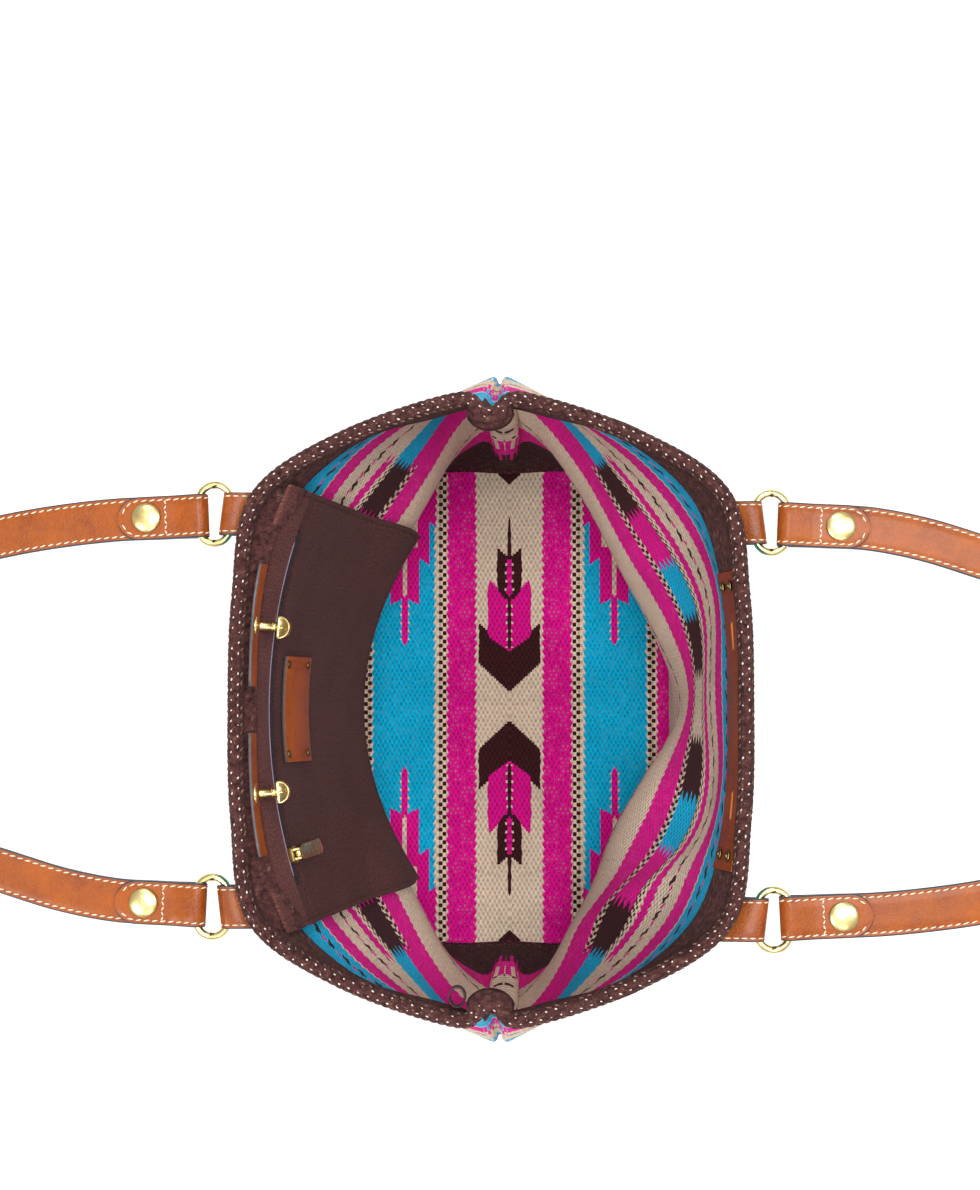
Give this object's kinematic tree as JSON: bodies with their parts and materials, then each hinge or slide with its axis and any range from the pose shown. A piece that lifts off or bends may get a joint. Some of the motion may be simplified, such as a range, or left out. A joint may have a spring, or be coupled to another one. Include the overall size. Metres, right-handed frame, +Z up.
{
  "type": "tote bag",
  "caption": "Open woven tote bag standing on its floor, with two leather handles on metal rings, an inner zip pocket and a turning-toggle closure.",
  "frame": {"origin": "under the middle of the floor, on the surface the bag stands on", "axes": "+Z up, +X across the mouth towards the slit strip, +Y along the mouth towards one side seam"},
  "size_m": [0.7949, 0.3622, 0.2997],
  "materials": {
    "woven_wool": "matte",
    "cotton_twill": "matte",
    "zip_tape": "matte",
    "cognac_leather": "satin",
    "brown_leather": "satin",
    "antique_brass": "antiqued, satin"
  },
  "bodies": {
    "bag": {"woven_body": "woven_wool", "pocket": "cotton_twill", "zip_tape_upper": "zip_tape", "zip_tape_lower": "zip_tape", "pocket_patch": "cognac_leather", "closure_strip": "brown_leather", "seam_loop": "brown_leather", "patch_rivet_1": "antique_brass", "strip_eyelet_1": "antique_brass", "patch_rivet_2": "antique_brass", "strip_eyelet_2": "antique_brass", "patch_rivet_3": "antique_brass", "strip_eyelet_3": "antique_brass", "patch_rivet_4": "antique_brass", "strip_eyelet_4": "antique_brass", "toggle_plate_front": "brown_leather", "toggle_base_front": "antique_brass", "toggle_plate_back": "brown_leather", "toggle_base_back": "antique_brass", "ring_tab_left_a": "cognac_leather", "ring_tab_left_b": "cognac_leather", "ring_tab_right_a": "cognac_leather", "ring_tab_right_b": "cognac_leather"},
    "toggle_front": {"toggle_front": "antique_brass"},
    "toggle_back": {"toggle_back": "antique_brass"},
    "zip_slider": {"zip_slider": "antique_brass"},
    "zip_pull": {"zip_pull": "antique_brass"},
    "handle_left": {"handle_left": "cognac_leather", "strap_cap_left_a": "antique_brass", "strap_cap_left_b": "antique_brass"},
    "ring_left_a": {"ring_left_a": "antique_brass"},
    "ring_left_b": {"ring_left_b": "antique_brass"},
    "handle_right": {"handle_right": "cognac_leather", "strap_cap_right_a": "antique_brass", "strap_cap_right_b": "antique_brass"},
    "ring_right_a": {"ring_right_a": "antique_brass"},
    "ring_right_b": {"ring_right_b": "antique_brass"}
  },
  "joints": [
    {"name": "ring_left_a_swing", "type": "hinge", "parent": "bag", "child": "ring_left_a", "pos_m": [-0.1352, 0.1, 0.272], "axis": [0, 1, 0], "range_deg": [-75, 90]},
    {"name": "ring_left_b_swing", "type": "hinge", "parent": "bag", "child": "ring_left_b", "pos_m": [-0.1352, -0.102, 0.272], "axis": [0, 1, 0], "range_deg": [-75, 90]},
    {"name": "handle_left_swing", "type": "hinge", "parent": "ring_left_a", "child": "handle_left", "pos_m": [-0.15145, 0.1, 0.272], "axis": [0, 1, 0], "range_deg": [-12, 28]},
    {"name": "ring_right_a_swing", "type": "hinge", "parent": "bag", "child": "ring_right_a", "pos_m": [0.1352, 0.0945, 0.272], "axis": [0, -1, 0], "range_deg": [-75, 90]},
    {"name": "ring_right_b_swing", "type": "hinge", "parent": "bag", "child": "ring_right_b", "pos_m": [0.1352, -0.1075, 0.272], "axis": [0, -1, 0], "range_deg": [-75, 90]},
    {"name": "handle_right_swing", "type": "hinge", "parent": "ring_right_a", "child": "handle_right", "pos_m": [0.15145, 0.0945, 0.272], "axis": [0, -1, 0], "range_deg": [-12, 28]},
    {"name": "toggle_front_turn", "type": "hinge", "parent": "bag", "child": "toggle_front", "pos_m": [-0.10685, 0.04091, 0.28134], "axis": [0.9634, -0.0835, 0.2546], "range_deg": [0, 90]},
    {"name": "toggle_back_turn", "type": "hinge", "parent": "bag", "child": "toggle_back", "pos_m": [-0.10669, -0.04282, 0.2814], "axis": [0.9616, 0.0904, 0.2591], "range_deg": [0, 90]},
    {"name": "zip_run", "type": "hinge", "parent": "bag", "child": "zip_slider", "pos_m": [0.1709, 0, 0.255], "axis": [0, 0, -1], "range_deg": [-1, 32]},
    {"name": "zip_pull_lift", "type": "hinge", "parent": "zip_slider", "child": "zip_pull", "pos_m": [-0.10097, -0.07575, 0.25618], "axis": [0.2626, -0.9649, 0], "range_deg": [0, 150]}
  ],
  "couplings": [
    {"joint": "ring_left_b_swing", "follows": "ring_left_a_swing", "ratio": 1},
    {"joint": "ring_right_b_swing", "follows": "ring_right_a_swing", "ratio": 1}
  ]
}
